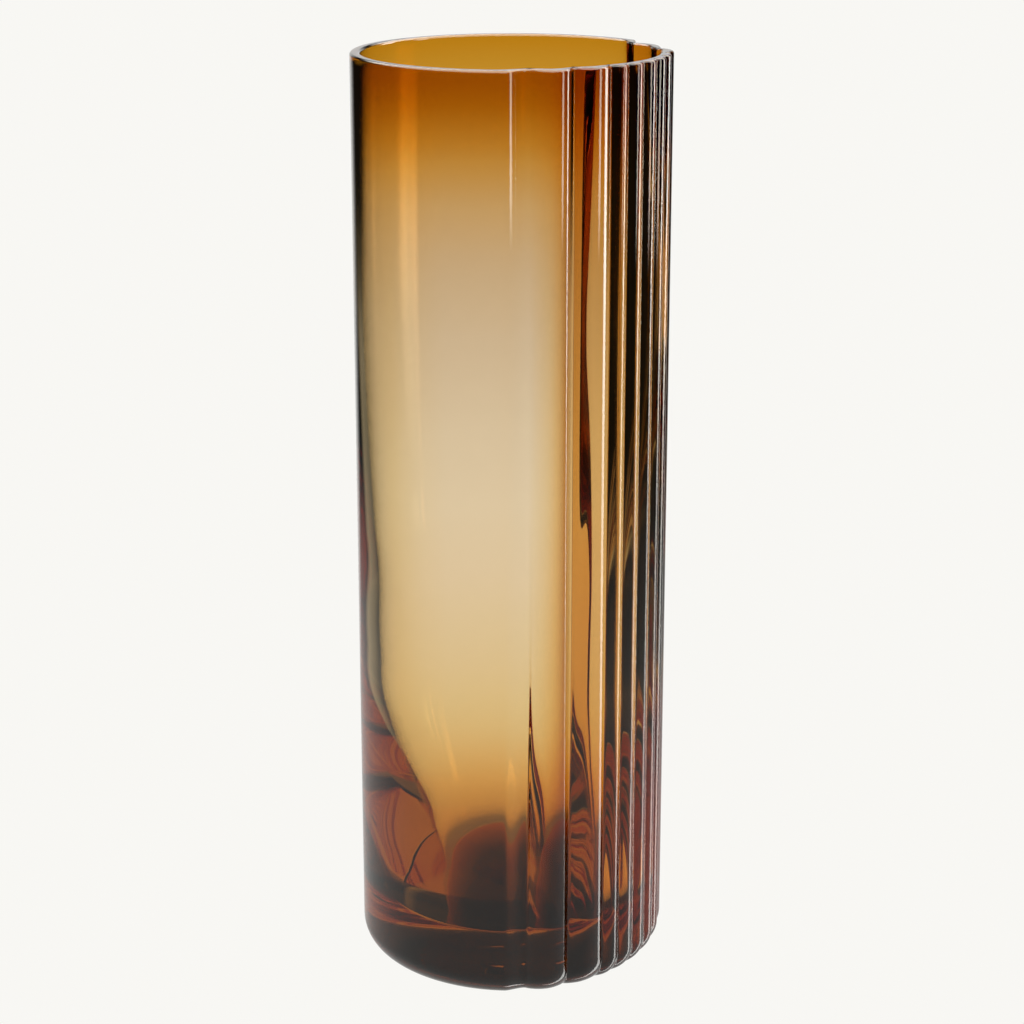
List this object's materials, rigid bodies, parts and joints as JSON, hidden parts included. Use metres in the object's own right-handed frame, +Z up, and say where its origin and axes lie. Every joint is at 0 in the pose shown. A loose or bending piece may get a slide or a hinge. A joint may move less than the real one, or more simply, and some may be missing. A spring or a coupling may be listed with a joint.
{
  "type": "vase",
  "caption": "Tall hand blown art glass vase, a straight amber cylinder with a thick clear base, plain on one side and gathered into upright flutes on the other",
  "frame": {"origin": "centre of the footprint, on the table", "axes": "+Z up, -Y towards the viewer in the usual view, +X to the viewer's right, where the flutes are"},
  "size_m": [0.1344, 0.1344, 0.4],
  "materials": {
    "amber_glass": "polished, transparent, darker amber at the rim and in the thick base"
  },
  "bodies": {
    "root": {"vase_body": "amber_glass"}
  },
  "joints": []
}
